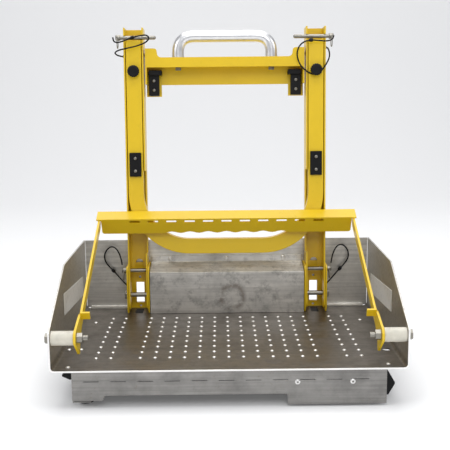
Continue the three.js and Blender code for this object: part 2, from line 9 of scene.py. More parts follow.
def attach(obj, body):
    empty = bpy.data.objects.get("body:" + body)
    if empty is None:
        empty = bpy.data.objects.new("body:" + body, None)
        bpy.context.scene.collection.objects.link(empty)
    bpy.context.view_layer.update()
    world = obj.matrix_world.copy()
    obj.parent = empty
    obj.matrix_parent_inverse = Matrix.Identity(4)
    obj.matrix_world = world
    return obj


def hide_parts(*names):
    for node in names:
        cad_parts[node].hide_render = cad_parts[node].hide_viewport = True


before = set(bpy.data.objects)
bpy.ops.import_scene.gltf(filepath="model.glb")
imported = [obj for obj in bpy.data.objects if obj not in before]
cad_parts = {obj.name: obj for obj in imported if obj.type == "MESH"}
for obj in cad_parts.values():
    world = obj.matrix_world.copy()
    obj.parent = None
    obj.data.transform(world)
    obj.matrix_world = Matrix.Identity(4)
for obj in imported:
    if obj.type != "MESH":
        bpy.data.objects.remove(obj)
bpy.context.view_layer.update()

bl_info = {
    "name": "Folding load platform",
    "version": (1, 0, 0),
    "blender": (4, 5, 0),
    "location": "View3D > Sidebar > Platform",
    "description": "Builds the visible surfaces and finishes of a folding load platform on its frame",
    "category": "Add Mesh",
}

# ---- places, in millimetres until row() turns them into metres in the frame's own axes ----
MM = 0.001
LEAN = math.radians(3.5)
MAST_X, MAST_FACE, MAST_WEB, MAST_TOP = 185.2, -24.5, 19.5, 551.5
HINGE_Y, HINGE_Z = 382.0, 35.5
LOCK_UP = 52.0  # lock pin above the hinge bolt
TREAD_Y, TREAD_Z = 16.0, 53.0
DECK_LEVEL = 70.0
GAP = 0.3  # between neighbouring solids
REARMOST = HINGE_Y + MAST_WEB * math.cos(LEAN) + MAST_TOP * math.sin(LEAN)
SHIFT = np.array([0.0, -REARMOST / 2, DECK_LEVEL])
SIDES = (("right", 1), ("left", -1))


def row(points):
    """Layout millimetres to metres in the frame: moved so the origin is under the middle of the part."""
    return (np.asarray(points, float) + SHIFT) * MM


def on_mast(points):
    """Mast millimetres to the frame: turned back by the lean about the hinge bolt, then moved."""
    x, y, z = np.moveaxis(np.asarray(points, float), -1, 0)
    back = HINGE_Y + math.cos(LEAN) * y + math.sin(LEAN) * z
    up = HINGE_Z - math.sin(LEAN) * y + math.cos(LEAN) * z
    return row(np.stack([x, back, up], -1))


MAST_UP = np.array([0.0, math.sin(LEAN), math.cos(LEAN)])
MAST_FRONT = np.array([0.0, -math.cos(LEAN), math.sin(LEAN)])
FRONT = np.array([0.0, -1.0, 0.0])
UP = np.array([0.0, 0.0, 1.0])
OUT = np.array([1.0, 0.0, 0.0])
FLIP = np.array([-1.0, 1.0, 1.0])

# ---- lanyard routes: lower in the layout, upper in the mast ----
LOWER_ROUTE = [
    (210.4, 390, 53), (215.2, 392, 57), (223.2, 397.5, 64), (232.2, 401, 73.5), (241.2, 402.5, 83),
    (250.2, 402.5, 93), (256.7, 402, 103), (258.7, 401, 113), (256.7, 400, 123), (250.7, 399, 131.5),
    (241.7, 397.5, 136), (232.7, 395.5, 131.5), (226.2, 392.5, 121), (222.2, 389.5, 109), (220.2, 387, 98.5),
]
TOP_LEFT_ROUTE = [
    (-207.2, -12, 495), (-211.2, -20, 495), (-218.2, -27, 497), (-221.2, -31, 501), (-214.2, -33, 505.5),
    (-199.2, -34, 509), (-179.2, -34, 513.5), (-161.2, -33.5, 520), (-152.7, -33, 528.5), (-158.2, -33, 535),
    (-172.2, -33, 534), (-186.2, -33, 530.5), (-201.2, -33, 525), (-214.2, -36, 521), (-222.2, -37, 523),
    (-224.7, -36.5, 531),
]
TOP_RIGHT_ROUTE = [
    (207.2, -12, 510), (210.2, -18, 507), (212.2, -24, 499), (211.7, -28, 489), (207.2, -28.5, 478),
    (199.2, -27.5, 466), (190.2, -27, 457.5), (180.2, -27, 455), (169.2, -27.3, 459), (157.2, -29.5, 468.5),
    (149.2, -31.5, 481), (146.2, -33, 496), (149.7, -33.5, 509), (159.2, -33.5, 518.5), (174.2, -33, 522.5),
    (191.2, -33, 521.5), (206.2, -35, 520.5), (216.2, -37, 523.5), (219.7, -36.5, 531),
]
CORD = 3.0
CRIMPS = {"lower": 4, "top_left": 11, "top_right": 14}  # the route point that each crimp bead sits on
BEAD = [(0, -4.6), (2.6, -4.2), (3.5, -2), (3.7, 0), (3.5, 2), (2.6, 4.2), (0, 4.6)]
CORD_SCREW = {"radius": 3.6, "height": 2.2, "sunk": 1.4}

# ---- camera: degrees, and metres in the frame ----
LENS, SENSOR = 68.6, 36.0
CAMERA_AT = (-0.013, -1.6015, 0.5495)
CAMERA_PITCH, CAMERA_YAW, CAMERA_ROLL = -9.54, -0.33, -0.55

# ---- heads, pins and turned pieces ----
DOME_COLUMNS = [n for n in range(-9, 10) if abs(n) != 7]
DOME_ROWS, DOME_FIRST = 9, 66.7
COVER_RIVETS = [(x, 410.2, 107) for x in (-120, 0, 120)]
APRON_RIVETS = [(x, 8, -26) for x in (116, 210)]
DECK_RIVETS = [(-290, 119, 0), (-268, 119, 0), (-275, 20, 0), (272, 20, 0), (-266, 295, 0), (268, 295, 0)]
PAD_SCREWS = [(side * MAST_X, -29.5, 275 + d) for _, side in SIDES for d in (-13, 13)]
BLOCK_SCREWS = [(side * 146, -4.3, z) for _, side in SIDES for z in (427, 446)]
GRAB = {"half": 95.5, "y": -6.0, "low": 492.3, "top": 534.5, "bend": 34.0, "radius": 12.4}
LOCK_PIN = {"tip": 157.7, "head": 210.7}
TOP_PIN = {"tip": 139.2, "head": 211.2, "y": -20.5, "z": 531.5}
RING = {"radius": 11, "wire": 0.46, "apart": 0.42, "at": 6, "hang": 10.2}
SPACER = {"low": 261.8, "high": 300.7, "radius": 12.45, "bore": 5.3}
KNOB = [(0, 0), (6, 0), (6, 5.2), (10.6, 5.2), (11.8, 5.9), (12.3, 7), (12.3, 10.6), (11.8, 11.8),
        (10.4, 12.6), (7.5, 12.6), (7.1, 12.2), (0, 12.2)]
KNOB_UP = 464
PLATE_OUTLINE = [(146, 57), (365, 40), (365, 80), (146, 97)]
PLATE_FACES = (300.98, 300.3)


# ---- surfaces ----
def unit(v):
    """Vectors scaled to length one."""
    v = np.asarray(v, float)
    return v / np.linalg.norm(v, axis=-1, keepdims=True)


def grid(rows, columns):
    """Four-sided faces between neighbouring rows, with the last column joined to the first."""
    i, j = np.meshgrid(np.arange(rows - 1), np.arange(columns), indexing="ij")
    k = (j + 1) % columns
    corners = [i * columns + j, i * columns + k, (i + 1) * columns + k, (i + 1) * columns + j]
    return np.stack(corners, -1).reshape(-1, 4)


def turned(profile, centre, axis, turns=32, flutes=0, depth=0.0):
    """Profile of radius r at height h turned about an axis, both in millimetres:
    point = centre + h * axis + r * (1 - depth * wave) * (cos t * side + sin t * up),
    wave = flutes round the turn."""
    r, h = np.array(profile, float).T * MM
    axis = unit(axis)
    side = unit(np.cross(axis, UP if abs(axis[2]) < 0.9 else OUT))
    up = np.cross(axis, side)
    t = np.linspace(0, 2 * np.pi, turns, endpoint=False)
    reach = 1 - depth * (0.5 + 0.5 * np.cos(flutes * t))
    spoke = (np.cos(t)[:, None] * side + np.sin(t)[:, None] * up) * reach[:, None]
    points = centre + h[:, None, None] * axis + r[:, None, None] * spoke
    return points.reshape(-1, 3), grid(len(r), turns)


def swept(path, radius, sides=14):
    """Round section carried along a path: point = path(s) + radius * (cos t * side(s) + sin t * up(s)),
    the side turned as little as possible from one step to the next, and both ends closed to a point."""
    path = np.asarray(path, float)
    along = unit(np.gradient(path, axis=0))
    side = unit(np.cross(along[0], unit([0.31, 0.84, 0.45])))
    sides_along = []
    for direction in along:
        side = unit(side - direction * side.dot(direction))
        sides_along.append(side)
    side = np.array(sides_along)
    up = np.cross(along, side)
    keep = np.r_[0, np.arange(len(path)), len(path) - 1]
    size = np.r_[0, np.full(len(path), radius * MM), 0]
    t = np.linspace(0, 2 * np.pi, sides, endpoint=False)
    spoke = np.cos(t)[None, :, None] * side[keep][:, None] + np.sin(t)[None, :, None] * up[keep][:, None]
    points = path[keep][:, None] + size[:, None, None] * spoke
    return points.reshape(-1, 3), grid(len(keep), sides)


def hoop(centre, axis, radius, wire, turns=48, sides=10):
    """Ring: point = centre + (radius + wire * cos p) * spoke(t) + wire * sin p * axis."""
    p = np.linspace(0, 2 * np.pi, sides + 1)
    profile = np.stack([radius + wire * np.cos(p), wire * np.sin(p)], -1)
    return turned(profile, centre, axis, turns)


def smooth_route(points, steps=6):
    """Catmull-Rom curve through points: each span is a cubic of its two ends and their neighbours."""
    p = np.asarray(points, float)
    p = np.vstack([2 * p[0] - p[1], p, 2 * p[-1] - p[-2]])
    a, b, c, d = p[:-3, None], p[1:-2, None], p[2:-1, None], p[3:, None]
    t = np.linspace(0, 1, steps, endpoint=False)[None, :, None]
    curve = 0.5 * (2 * b + (c - a) * t + (2 * a - 5 * b + 4 * c - d) * t**2 + (3 * b - a - 3 * c + d) * t**3)
    return np.vstack([curve.reshape(-1, 3), p[-2]])


def dome(r, height):
    """Low dome on a flat face: radius r * cos a and height * sin a, with a foot just below the face."""
    a = np.linspace(0, np.pi / 2, 6)
    rim = [(0, -0.3), (r, -0.3)]
    return rim + [(r * math.cos(q), height * math.sin(q)) for q in a[:-1]] + [(0, height)]


def pop_head(r, height):
    """Pop rivet head: a low dome with a sunk middle."""
    core = 0.4 * r
    return [(0, -0.3), (r, -0.3), (r, 0.3 * height), (0.8 * r, 0.85 * height), (1.2 * core, height),
            (core, 0.9 * height), (core, -0.1), (0, -0.1)]


def socket_head(r, height):
    """Button screw head: a dome with a sunk six-sided socket drawn as a round recess."""
    core = 0.42 * r
    return [(0, -0.3), (r, -0.3), (r, 0.25 * height), (0.86 * r, 0.7 * height), (0.6 * r, 0.97 * height),
            (core, height), (core, 0.35 * height), (0, 0.35 * height)]


def together(shapes):
    """Several surfaces as one list of points and one of faces."""
    points, faces, start = [], [], 0
    for p, f in shapes:
        points.append(p)
        faces.append(f + start)
        start += len(p)
    return np.vstack(points), np.vstack(faces)


def many(profile, centres, axis, turns=12):
    """The same turned profile at each centre: every point of one copy plus every centre."""
    points, faces = turned(profile, np.zeros(3), axis, turns)
    centres = np.asarray(centres, float)
    spread = centres[:, None] + points[None]
    starts = (np.arange(len(centres)) * len(points))[:, None, None]
    return spread.reshape(-1, 3), (faces[None] + starts).reshape(-1, faces.shape[1])


def solid_of(node):
    """Points and triangles of one solid of the frame."""
    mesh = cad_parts[node].data
    points = np.empty(3 * len(mesh.vertices))
    mesh.vertices.foreach_get("co", points)
    corners = np.empty(len(mesh.loops), int)
    mesh.loops.foreach_get("vertex_index", corners)
    return points.reshape(-1, 3), corners.reshape(-1, 3)


def piece(name, shape, material, body, stands_for=(), edge=0.0, steps=2, sharp=38):
    """A closed mesh from points and faces: doubles merged, edges rounded, with its finish and its body."""
    points, faces = shape
    mesh = bpy.data.meshes.new(name)
    mesh.from_pydata(points.tolist(), [], faces.tolist())
    work = bmesh.new()
    work.from_mesh(mesh)
    bmesh.ops.remove_doubles(work, verts=work.verts, dist=2e-6)
    bmesh.ops.dissolve_degenerate(work, edges=work.edges, dist=1e-6)
    bmesh.ops.recalc_face_normals(work, faces=work.faces)
    if edge:
        bmesh.ops.dissolve_limit(work, angle_limit=math.radians(0.4), verts=work.verts, edges=work.edges)
    work.to_mesh(mesh)
    work.free()
    mesh.polygons.foreach_set("use_smooth", np.ones(len(mesh.polygons), bool))
    if not edge:
        mesh.set_sharp_from_angle(angle=math.radians(sharp))
    mesh.materials.append(material)
    made = bpy.data.objects.new(name, mesh)
    bpy.context.scene.collection.objects.link(made)
    if edge:
        bevel = made.modifiers.new("rounded edges", "BEVEL")
        bevel.width = edge * MM
        bevel.segments = steps
        bevel.limit_method = "ANGLE"
        bevel.angle_limit = math.radians(sharp)
        bevel.harden_normals = True
    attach(made, body)
    if stands_for:
        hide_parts(*stands_for)
    return made


# ---- finishes ----
class Wire:
    """An output of a shader node that adds, subtracts and multiplies like a number."""

    def __init__(self, finish, socket):
        self.finish = finish
        self.socket = socket

    def sum_of(self, operation, first, second):
        return self.finish.node("ShaderNodeMath", {"operation": operation}, {0: first, 1: second})

    def __add__(self, other):
        return self.sum_of("ADD", self, other)

    def __sub__(self, other):
        return self.sum_of("SUBTRACT", self, other)

    def __rsub__(self, other):
        return self.sum_of("SUBTRACT", other, self)

    def __mul__(self, other):
        return self.sum_of("MULTIPLY", self, other)

    __radd__ = __add__


class Finish:
    """One material and the nodes that make it."""

    def __init__(self, name):
        self.material = bpy.data.materials.new(name)
        self.material.use_nodes = True
        self.tree = self.material.node_tree
        self.shader = self.tree.nodes["Principled BSDF"]
        self.place = self.node("ShaderNodeTexCoord", out="Object")

    def node(self, kind, settings=None, inputs=None, out=0):
        """A node of a kind, its settings made first, then the values or links of its sockets."""
        made = self.tree.nodes.new(kind)
        for key, value in (settings or {}).items():
            setattr(made, key, value)
        for key, value in (inputs or {}).items():
            self.feed(made.inputs[key], value)
        return Wire(self, made.outputs[out])

    def feed(self, socket, value):
        if isinstance(value, Wire):
            self.tree.links.new(value.socket, socket)
        else:
            socket.default_value = value

    def set(self, **values):
        """Values or links on the shader, named as its sockets are with spaces as underscores."""
        for key, value in values.items():
            self.feed(self.shader.inputs[key.replace("_", " ")], value)

    def stretched(self, scale, move=(0, 0, 0)):
        return self.node("ShaderNodeMapping", inputs={"Vector": self.place, "Scale": scale, "Location": move})

    def noise(self, scale, detail=3.0, rough=0.55, where=None):
        """Noise from 0 to 1 over the object's own coordinates."""
        inputs = {"Vector": where or self.place, "Scale": scale, "Detail": detail, "Roughness": rough}
        return self.node("ShaderNodeTexNoise", inputs=inputs, out="Fac")

    def between(self, value, low, high):
        """0 below low, 1 above high, and even in between."""
        inputs = {"Value": value, "From Min": low, "From Max": high}
        return self.node("ShaderNodeMapRange", {"clamp": True}, inputs)

    def mixed(self, amount, first, second):
        inputs = {"Factor": amount, 6: first, 7: second}
        return self.node("ShaderNodeMix", {"data_type": "RGBA"}, inputs, out=2)

    def bump(self, height, strength, distance):
        inputs = {"Height": height, "Strength": strength, "Distance": distance}
        self.set(Normal=self.node("ShaderNodeBump", inputs=inputs))


def tone(colour, factor):
    """A colour made lighter or darker by a factor."""
    return (*(min(1.0, channel * factor) for channel in colour[:3]), 1.0)


def coat_finish(name, colour):
    """Powder coat: fine orange peel, slow shifts of shade and rubbed patches."""
    f = Finish(name)
    slow = f.noise(14, 4)
    rubbed = f.between(f.noise(95, 6, 0.7), 0.56, 0.74)
    base = f.mixed(slow, tone(colour, 0.9), tone(colour, 1.08))
    f.set(Base_Color=f.mixed(rubbed * 0.25, base, tone(colour, 0.7)))
    f.set(Roughness=0.36 + slow * 0.1 + rubbed * 0.14)
    f.set(Coat_Weight=0.25, Coat_Roughness=0.2)
    f.bump(f.noise(900, 2), 0.22, 0.0004)
    return f.material


def sheet_finish(name, colour, grain, dirt, mottle=0.15, ring=None, rim=None, wall=None):
    """Rolled steel sheet: long grain along the stretched axis, smudges, and where asked a ring-shaped stain,
    a painted highlight along the front cut edge, or painted light and shade that gives the sheet a lighter
    tone above a level."""
    f = Finish(name)
    streak = f.noise(1.0, 4, 0.6, f.stretched(grain))
    fine = f.noise(1.0, 2, 0.5, f.stretched([g * 3.1 for g in grain], (0.3, 0.1, 0.7)))
    smudge = f.between(f.noise(22, 5, 0.62), 0.42, 0.72)
    spots = f.between(f.noise(150, 3, 0.6), 0.64, 0.75)
    base = f.mixed(f.between(streak, 0.3, 0.7), tone(colour, 0.82), tone(colour, 1.18))
    base = f.mixed(smudge * dirt, base, tone(colour, 0.55))
    base = f.mixed(spots * 0.3, base, (0.16, 0.11, 0.07, 1))
    base = f.mixed(f.between(f.noise(48, 6, 0.75), 0.5, 0.68) * mottle, base, tone(colour, 0.3))
    rough = 0.3 + streak * 0.12 + smudge * 0.18
    if ring:
        x, z, radius = ring
        split = {"Vector": f.place}
        across = f.node("ShaderNodeSeparateXYZ", inputs=split, out="X") - x
        along = f.node("ShaderNodeSeparateXYZ", inputs=split, out="Z") - z
        reach = f.node("ShaderNodeMath", {"operation": "SQRT"}, {0: across * across + along * along})
        reach = reach + f.noise(30, 4) * 0.02
        off = f.node("ShaderNodeMath", {"operation": "ABSOLUTE"}, {0: reach - radius})
        mark = (1 - f.between(off, 0.001, 0.009)) * f.between(f.noise(60, 3), 0.38, 0.55)
        base = f.mixed(mark * 0.55, base, (0.17, 0.13, 0.1, 1))
        rough = rough + mark * 0.15
    # Painted light and shade: above a level just over the deck, the walls of this one bent sheet get a
    # lighter tone than its floor.
    if wall is not None:
        level, lighter = wall
        height = f.node("ShaderNodeSeparateXYZ", inputs={"Vector": f.place}, out="Z") + streak * 0.006
        above = f.between(height, level, level + 0.012)
        sheet = f.mixed(f.between(streak, 0.3, 0.7), tone(lighter, 0.8), tone(lighter, 1.1))
        base = f.mixed(above, base, sheet)
    # Painted highlight: a near-white strip along the front cut edge of the sheet, standing in for the light
    # that this edge catches.
    if rim is not None:
        depth = f.node("ShaderNodeSeparateXYZ", inputs={"Vector": f.place}, out="Y")
        base = f.mixed(1 - f.between(depth, rim, rim + 0.0007), base, (0.9, 0.89, 0.87, 1))
    f.set(Base_Color=base, Roughness=rough, Metallic=1.0)
    f.bump(fine + streak * 0.5, 0.12, 0.0003)
    return f.material


def metal_finish(name, colour, rough, scale=160):
    """Plated or satin metal: mottled shade and faint scratches."""
    f = Finish(name)
    mottle = f.noise(scale, 4, 0.6)
    f.set(Base_Color=f.mixed(mottle, tone(colour, 0.8), tone(colour, 1.15)))
    f.set(Roughness=rough + mottle * 0.14, Metallic=1.0)
    f.bump(f.noise(1100, 2), 0.12, 0.0002)
    return f.material


def moulded_finish(name, colour, rough, grain=800, depth=0.3, shine=0.22):
    """Moulded rubber, plastic or nylon: fine grain and slow shifts of shade."""
    f = Finish(name)
    slow = f.noise(60, 3)
    f.set(Base_Color=f.mixed(slow, tone(colour, 0.8), tone(colour, 1.25)))
    f.set(Roughness=rough + slow * 0.12)
    f.set(Specular_IOR_Level=shine)
    f.bump(f.noise(grain, 3, 0.6), depth, 0.0005)
    return f.material


def paper_finish(name, colour):
    """Plain coated plate with scuffed corners."""
    f = Finish(name)
    worn = f.between(f.noise(70, 5, 0.7), 0.5, 0.72)
    f.set(Base_Color=f.mixed(worn * 0.5, colour, tone(colour, 0.72)), Roughness=0.5 + worn * 0.2)
    f.bump(f.noise(500, 2), 0.1, 0.0002)
    return f.material


def floor_finish(name, colour):
    """Matt studio paper."""
    f = Finish(name)
    f.set(Base_Color=colour, Roughness=0.75, Specular_IOR_Level=0.25)
    f.set(Emission_Color=colour, Emission_Strength=0.12)
    return f.material


MADE = {}


def finish(key):
    """The material of one name, made once from the scene's colours."""
    c = bpy.context.scene.platform_colours
    makers = {
        "yellow": lambda: coat_finish("yellow powder coat", c.yellow),
        "wall sheet": lambda: sheet_finish("wall sheet", c.steel, (5, 60, 240), 0.35),
        # The deck sheet gets the painted highlight along its front cut edge (rim) and painted light and shade
        # between its walls and its floor (wall).
        "deck sheet": lambda: sheet_finish(
            "deck sheet", c.deck, (4, 190, 190), 0.6,
            rim=row((0, 0.4, 0))[1], wall=(row((0, 0, 4))[2], c.steel),
        ),
        "cover sheet": lambda: sheet_finish(
            "cover sheet", c.steel, (5, 190, 190), 0.4, mottle=0.6, ring=(0.010, 0.103, 0.036)
        ),
        "apron sheet": lambda: sheet_finish("apron sheet", c.apron, (4, 190, 210), 0.5),
        # Light steel: the real colour of the rivets, and a painted highlight on the domes pressed from the
        # darker deck sheet.
        "dome steel": lambda: metal_finish("bright domes", c.bright, 0.22, 300),
        "zinc": lambda: metal_finish("zinc plate", c.zinc, 0.3),
        "aluminium": lambda: metal_finish("satin aluminium", c.aluminium, 0.26, 90),
        "rubber": lambda: moulded_finish("black rubber", c.black, 0.6),
        "plastic": lambda: moulded_finish("black plastic", c.black, 0.38, 1400, 0.4),
        "cord": lambda: moulded_finish("cord sleeve", c.black, 0.35, 2000, 0.15),
        "nylon": lambda: moulded_finish("turned nylon", c.nylon, 0.34, 600, 0.12, 0.5),
        "plate": lambda: paper_finish("blank plate", c.plate),
        "floor": lambda: floor_finish("studio paper", c.floor),
    }
    if key not in MADE:
        MADE[key] = makers[key]()
    return MADE[key]


# ---- sizes and colours that a user may change ----
def colour(name, about, value):
    return bpy.props.FloatVectorProperty(
        name=name, description=about, default=(*value, 1.0), size=4, min=0.0, max=1.0, subtype="COLOR"
    )


def size(name, about, value):
    return bpy.props.FloatProperty(name=name, description=about, default=value, min=0.0, unit="LENGTH")


class PlatformColours(bpy.types.PropertyGroup):
    """Colours of the platform's finishes."""

    yellow: colour("Yellow", "Powder coat of the mast and the tread bar", (0.76, 0.51, 0.002))
    steel: colour("Wall steel", "Sheet of the walls", (0.62, 0.6, 0.56))
    deck: colour("Deck steel", "Sheet of the deck", (0.21, 0.19, 0.168))
    apron: colour("Apron steel", "Sheet of the base", (0.27, 0.262, 0.25))
    # Real bright steel on the rivets; a painted highlight on the deck's pressed domes.
    bright: colour("Dome steel", "Pressed domes and rivets", (0.82, 0.81, 0.79))
    zinc: colour("Zinc", "Bolts, nuts, pins and rings", (0.3, 0.285, 0.25))
    aluminium: colour("Aluminium", "Grab handle", (0.8, 0.8, 0.81))
    black: colour("Black", "Rubber, knobs and lanyards", (0.005, 0.005, 0.0055))
    nylon: colour("Nylon", "Spacers of the tread pivots", (0.62, 0.59, 0.5))
    plate: colour("Plate", "Blank plates on the side walls", (0.74, 0.73, 0.7))
    floor: colour("Floor", "Studio paper", (0.86, 0.86, 0.86))


class PlatformSizes(bpy.types.PropertyGroup):
    """Sizes of the platform's fine detail."""

    dome: size("Dome radius", "Radius of each pressed dome on the deck", 0.0036)
    dome_height: size("Dome height", "Height of each pressed dome", 0.0020)
    column: size("Dome columns", "Distance between columns of domes", 0.026)
    line: size("Dome rows", "Distance between rows of domes", 0.032)
    edge: size("Sheet edge", "Rounding along the edges of sheet", 0.0006)
    coat_edge: size("Coated edge", "Rounding along the edges of coated pieces", 0.0009)


# ---- operators ----
class PLATFORM_OT_camera(bpy.types.Operator):
    """Camera in front of the tray, a little above it"""

    bl_idname = "platform.camera"
    bl_label = "Camera"

    def execute(self, context):
        lens = bpy.data.cameras.new("camera")
        lens.sensor_width = SENSOR
        lens.lens = LENS
        camera = bpy.data.objects.new("camera", lens)
        yaw = Matrix.Rotation(math.radians(CAMERA_YAW), 4, "Z")
        pitch = Matrix.Rotation(math.radians(90 + CAMERA_PITCH), 4, "X")
        roll = Matrix.Rotation(math.radians(CAMERA_ROLL), 4, "Z")
        camera.matrix_world = Matrix.Translation(CAMERA_AT) @ yaw @ pitch @ roll
        context.scene.collection.objects.link(camera)
        context.scene.camera = camera
        return {"FINISHED"}


class PLATFORM_OT_lanyards(bpy.types.Operator):
    """Four sleeved wire lanyards, each with a crimp bead and a screw head at its fixed end"""

    bl_idname = "platform.lanyards"
    bl_label = "Lanyards"

    def execute(self, context):
        lower = [row(np.array(LOWER_ROUTE) * (FLIP if sign < 0 else 1)) for _, sign in SIDES]
        runs = [
            ("lanyard_lower_right", lower[0], CRIMPS["lower"], OUT),
            ("lanyard_lower_left", lower[1], CRIMPS["lower"], -OUT),
            ("lanyard_top_left", on_mast(TOP_LEFT_ROUTE), CRIMPS["top_left"], -OUT),
            ("lanyard_top_right", on_mast(TOP_RIGHT_ROUTE), CRIMPS["top_right"], OUT),
        ]
        for node, knots, crimp, out in runs:
            path = smooth_route(knots)
            sleeve = swept(path, CORD / 2, 10)
            cord = piece(node + "_sleeve", sleeve, finish("cord"), "platform", [node])
            way = unit(knots[crimp + 1] - knots[crimp - 1])
            bead = turned(BEAD, knots[crimp], way, 20)
            bead = piece(node + "_bead", bead, finish("plastic"), "platform")
            foot = knots[0] - out * CORD_SCREW["sunk"] * MM
            head = turned(socket_head(CORD_SCREW["radius"], CORD_SCREW["height"]), foot, out, 20)
            piece(node + "_screw", head, finish("zinc"), "platform")
        return {"FINISHED"}


class PLATFORM_OT_sheet(bpy.types.Operator):
    """Tray, walls, cover and base, their cut edges rounded"""

    bl_idname = "platform.sheet"
    bl_label = "Sheet metal"

    def execute(self, context):
        edge = context.scene.platform_sizes.edge / MM
        kinds = {
            "deck_tray": "deck sheet", "back_wall": "wall sheet", "step_cover": "cover sheet",
        }
        base = ("front_apron", "rear_apron", "side_rail_right", "side_rail_left",
                "cross_member_front", "cross_member_rear")
        kinds.update(dict.fromkeys(base, "apron sheet"))
        for node, kind in kinds.items():
            piece(node + "_skin", solid_of(node), finish(kind), "platform", [node], edge)
        return {"FINISHED"}


class PLATFORM_OT_coated(bpy.types.Operator):
    """Brackets, mast, frame, beam, tread arms and tread bar in powder coat"""

    bl_idname = "platform.coated"
    bl_label = "Coated steel"

    def execute(self, context):
        edge = context.scene.platform_sizes.coat_edge / MM
        fixed = ["cross_beam", "bracket_right", "bracket_left", "mast_channel_right", "mast_channel_left"]
        moving = ["tread_arm_right", "tread_arm_left", "tread_bar"]
        for node in fixed + moving:
            body = "tread" if node in moving else "platform"
            piece(node + "_coat", solid_of(node), finish("yellow"), body, [node], edge, 3)
        node = "bent_frame"
        piece(node + "_coat", solid_of(node), finish("yellow"), "platform", [node], 1.8, 4)
        return {"FINISHED"}


class PLATFORM_OT_domes(bpy.types.Operator):
    """Rows of small domes pressed up from the deck, with a painted highlight: a far lighter steel than the
    deck sheet they are pressed from
    """

    bl_idname = "platform.domes"
    bl_label = "Deck domes"

    def execute(self, context):
        s = context.scene.platform_sizes
        i, j = np.meshgrid(DOME_COLUMNS, np.arange(DOME_ROWS), indexing="ij")
        places = np.stack([i * s.column / MM, DOME_FIRST + j * s.line / MM, np.zeros(i.shape)], -1)
        centres = row(places).reshape(-1, 3)
        shape = many(dome(s.dome / MM, s.dome_height / MM), centres, UP, 14)
        # Painted highlight: the domes take the light dome steel instead of the deck sheet's own tone.
        piece("deck_domes", shape, finish("dome steel"), "platform")
        return {"FINISHED"}


class PLATFORM_OT_rivets(bpy.types.Operator):
    """Rivets on the cover, the apron and the deck, and the screws of pads and blocks"""

    bl_idname = "platform.rivets"
    bl_label = "Rivets and screws"

    def execute(self, context):
        heads = [
            many(dome(4.2, 1.8), row(COVER_RIVETS), FRONT, 20),
            many(pop_head(4.6, 1.7), row(APRON_RIVETS), FRONT, 20),
            many(dome(4.0, 2.0), row(DECK_RIVETS), UP, 20),
        ]
        piece("sheet_rivets", together(heads), finish("dome steel"), "platform")
        screw = socket_head(3.2, 1.5)
        screws = [many(screw, on_mast(places), MAST_FRONT, 20) for places in (PAD_SCREWS, BLOCK_SCREWS)]
        piece("pad_screws", together(screws), finish("zinc"), "platform")
        return {"FINISHED"}


class PLATFORM_OT_handle(bpy.types.Operator):
    """Aluminium grab handle: a round tube up, across and down again"""

    bl_idname = "platform.handle"
    bl_label = "Grab handle"

    def execute(self, context):
        half, y, low, top, bend, radius = GRAB.values()
        t = np.linspace(0, 1, 18)[:, None]
        foot, corner, away = np.array([(-half, y, top - bend), (-half, y, top), (-half + bend, y, top)])
        curve = (1 - t) ** 2 * foot + 2 * t * (1 - t) * corner + t**2 * away
        left = np.vstack([[(-half, y, low)], curve])
        path = on_mast(np.vstack([left, left[::-1] * FLIP]))
        tube, node = swept(path, radius, 36), "grab_handle"
        piece(node + "_tube", tube, finish("aluminium"), "platform", [node], sharp=60)
        return {"FINISHED"}


class PLATFORM_OT_pins(bpy.types.Operator):
    """Lock pins and top pins with their split rings"""

    bl_idname = "platform.pins"
    bl_label = "Pins and rings"

    def execute(self, context):
        lock = row((0, HINGE_Y + LOCK_UP * math.sin(LEAN), HINGE_Z + LOCK_UP * math.cos(LEAN)))
        top = on_mast((0, TOP_PIN["y"], TOP_PIN["z"]))
        runs = [("lock_pin", "pin_ring", lock, LOCK_PIN, UP), ("top_pin", "top_ring", top, TOP_PIN, MAST_UP)]
        for name, sign in SIDES:
            for pin, ring, centre, ends, upward in runs:
                body = f"{pin}_{name[0]}"
                tip, head = ends["tip"], ends["head"]
                profile = [(0, tip), (1.6, tip + 0.2), (3.2, tip + 1.4), (3.97, tip + 3.2), (3.97, head),
                           (5.7, head + 0.3), (5.95, head + 0.8), (5.95, head + 7.8), (5.5, head + 9),
                           (4.3, head + 9.9), (0, head + 9.95)]
                shape = turned(profile, centre, OUT * sign, 28)
                piece(f"{pin}_{name}_turned", shape, finish("zinc"), body, [f"{pin}_{name}"])
                middle = centre + OUT * sign * (head + RING["at"]) * MM - upward * RING["hang"] * MM
                coils = [middle + OUT * side * RING["apart"] * MM for side in (-1, 1)]
                rings = together([hoop(coil, OUT, RING["radius"], RING["wire"]) for coil in coils])
                piece(f"{ring}_{name}_split", rings, finish("zinc"), body, [f"{ring}_{name}"])
        return {"FINISHED"}


class PLATFORM_OT_fasteners(bpy.types.Operator):
    """Bolts, nuts and screws with softened corners"""

    bl_idname = "platform.fasteners"
    bl_label = "Bolts and nuts"

    def execute(self, context):
        for kind in ("mast_bolt", "ear_bolt", "ear_nut", "handle_screw", "tread_bolt", "tread_nut"):
            for name, _ in SIDES:
                node = f"{kind}_{name}"
                shape = solid_of(node)
                piece(node + "_plated", shape, finish("zinc"), "platform", [node], 0.5, 2, 42)
        return {"FINISHED"}


